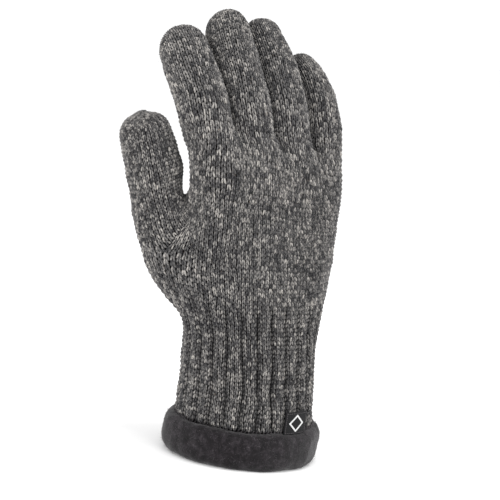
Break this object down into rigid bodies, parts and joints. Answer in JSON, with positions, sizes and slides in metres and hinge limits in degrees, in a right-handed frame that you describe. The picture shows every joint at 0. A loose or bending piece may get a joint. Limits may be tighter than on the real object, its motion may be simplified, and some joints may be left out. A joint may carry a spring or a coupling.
{
  "type": "knitted glove",
  "caption": "Right-hand knitted wool glove with a ribbed cuff, a fleece lining turned back below the hem and a small woven label on the cuff.",
  "frame": {"origin": "centre of the cuff opening, at the lowest edge of the turned-back lining", "axes": "+Z along the forearm toward the fingertips, -Y out of the back of the hand, -X toward the thumb"},
  "size_m": [0.138, 0.1037, 0.256],
  "materials": {
    "wool_knit": "marled grey wool, plain knit with a ribbed cuff",
    "fleece": "brushed aubergine-grey fleece",
    "hem_thread": "matte sewing thread",
    "label_black": "woven satin",
    "label_white": "woven thread"
  },
  "bodies": {
    "cuff": {"cuff_rib_knit": "wool_knit", "cuff_lining": "fleece", "turned_back_lining": "fleece", "hem_seam_thread": "hem_thread", "woven_label": "label_black", "label_mark": "label_white", "label_stitching": "label_black"},
    "hand": {"hand_knit": "wool_knit", "hand_lining": "fleece"},
    "index_root": {"index_root_knit": "wool_knit", "index_root_lining": "fleece"},
    "index_middle": {"index_middle_knit": "wool_knit", "index_middle_lining": "fleece"},
    "index_tip": {"index_tip_knit": "wool_knit", "index_tip_lining": "fleece", "index_closing_yarn": "wool_knit"},
    "middle_root": {"middle_root_knit": "wool_knit", "middle_root_lining": "fleece"},
    "middle_middle": {"middle_middle_knit": "wool_knit", "middle_middle_lining": "fleece"},
    "middle_tip": {"middle_tip_knit": "wool_knit", "middle_tip_lining": "fleece", "middle_closing_yarn": "wool_knit"},
    "ring_root": {"ring_root_knit": "wool_knit", "ring_root_lining": "fleece"},
    "ring_middle": {"ring_middle_knit": "wool_knit", "ring_middle_lining": "fleece"},
    "ring_tip": {"ring_tip_knit": "wool_knit", "ring_tip_lining": "fleece", "ring_closing_yarn": "wool_knit"},
    "little_root": {"little_root_knit": "wool_knit", "little_root_lining": "fleece"},
    "little_middle": {"little_middle_knit": "wool_knit", "little_middle_lining": "fleece"},
    "little_tip": {"little_tip_knit": "wool_knit", "little_tip_lining": "fleece", "little_closing_yarn": "wool_knit"},
    "thumb_root": {"thumb_root_knit": "wool_knit", "thumb_root_lining": "fleece"},
    "thumb_tip": {"thumb_tip_knit": "wool_knit", "thumb_tip_lining": "fleece", "thumb_closing_yarn": "wool_knit"}
  },
  "joints": [
    {"name": "wrist_bend", "type": "hinge", "parent": "cuff", "child": "hand", "pos_m": [0, 0, 0.07], "axis": [-1, 0, 0], "range_deg": [-40, 45], "stiffness_Nm_per_rad": 0.6},
    {"name": "index_root_bend", "type": "hinge", "parent": "hand", "child": "index_root", "pos_m": [-0.04633, 0.01159, 0.2005], "axis": [-0.9994, 0, -0.0349], "range_deg": [-25, 35], "stiffness_Nm_per_rad": 0.08},
    {"name": "index_middle_bend", "type": "hinge", "parent": "index_root", "child": "index_middle", "pos_m": [-0.04688, 0.02715, 0.21605], "axis": [-0.9994, 0, -0.0349], "range_deg": [-8, 47], "stiffness_Nm_per_rad": 0.05},
    {"name": "index_tip_bend", "type": "hinge", "parent": "index_middle", "child": "index_tip", "pos_m": [-0.04739, 0.0435, 0.23076], "axis": [-0.9994, 0, -0.0349], "range_deg": [-20, 16], "stiffness_Nm_per_rad": 0.03},
    {"name": "middle_root_bend", "type": "hinge", "parent": "hand", "child": "middle_root", "pos_m": [-0.02015, 0.00909, 0.19951], "axis": [-1, 0, 0.0052], "range_deg": [-25, 40], "stiffness_Nm_per_rad": 0.08},
    {"name": "middle_middle_bend", "type": "hinge", "parent": "middle_root", "child": "middle_middle", "pos_m": [-0.02006, 0.02387, 0.21713], "axis": [-1, 0, 0.0052], "range_deg": [-7, 60], "stiffness_Nm_per_rad": 0.05},
    {"name": "middle_tip_bend", "type": "hinge", "parent": "middle_middle", "child": "middle_tip", "pos_m": [-0.01997, 0.03993, 0.23496], "axis": [-1, 0, 0.0052], "range_deg": [-8, 37], "stiffness_Nm_per_rad": 0.03},
    {"name": "ring_root_bend", "type": "hinge", "parent": "hand", "child": "ring_root", "pos_m": [0.00512, 0.00621, 0.19741], "axis": [-0.9999, 0, 0.0105], "range_deg": [-25, 40], "stiffness_Nm_per_rad": 0.08},
    {"name": "ring_middle_bend", "type": "hinge", "parent": "ring_root", "child": "ring_middle", "pos_m": [0.00531, 0.02037, 0.21554], "axis": [-0.9999, 0, 0.0105], "range_deg": [-15, 54], "stiffness_Nm_per_rad": 0.05},
    {"name": "ring_tip_bend", "type": "hinge", "parent": "ring_middle", "child": "ring_tip", "pos_m": [0.00547, 0.03746, 0.23092], "axis": [-0.9999, 0, 0.0105], "range_deg": [-9, 38], "stiffness_Nm_per_rad": 0.03},
    {"name": "little_root_bend", "type": "hinge", "parent": "hand", "child": "little_root", "pos_m": [0.03023, 0.00759, 0.19049], "axis": [-0.9978, 0, 0.0663], "range_deg": [-22, 42], "stiffness_Nm_per_rad": 0.08},
    {"name": "little_middle_bend", "type": "hinge", "parent": "little_root", "child": "little_middle", "pos_m": [0.03147, 0.01925, 0.20911], "axis": [-0.9978, 0, 0.0663], "range_deg": [-31, 40], "stiffness_Nm_per_rad": 0.05},
    {"name": "little_tip_bend", "type": "hinge", "parent": "little_middle", "child": "little_tip", "pos_m": [0.03217, 0.03621, 0.21968], "axis": [-0.9978, 0, 0.0663], "range_deg": [-15, 40], "stiffness_Nm_per_rad": 0.03},
    {"name": "thumb_root_bend", "type": "hinge", "parent": "hand", "child": "thumb_root", "pos_m": [-0.06627, 0.02143, 0.15417], "axis": [0.7411, -0.5891, 0.322], "range_deg": [-25, 20], "stiffness_Nm_per_rad": 0.08},
    {"name": "thumb_tip_bend", "type": "hinge", "parent": "thumb_root", "child": "thumb_tip", "pos_m": [-0.07375, 0.02385, 0.17579], "axis": [-0.7411, 0.5891, -0.322], "range_deg": [-8, 40], "stiffness_Nm_per_rad": 0.03}
  ]
}
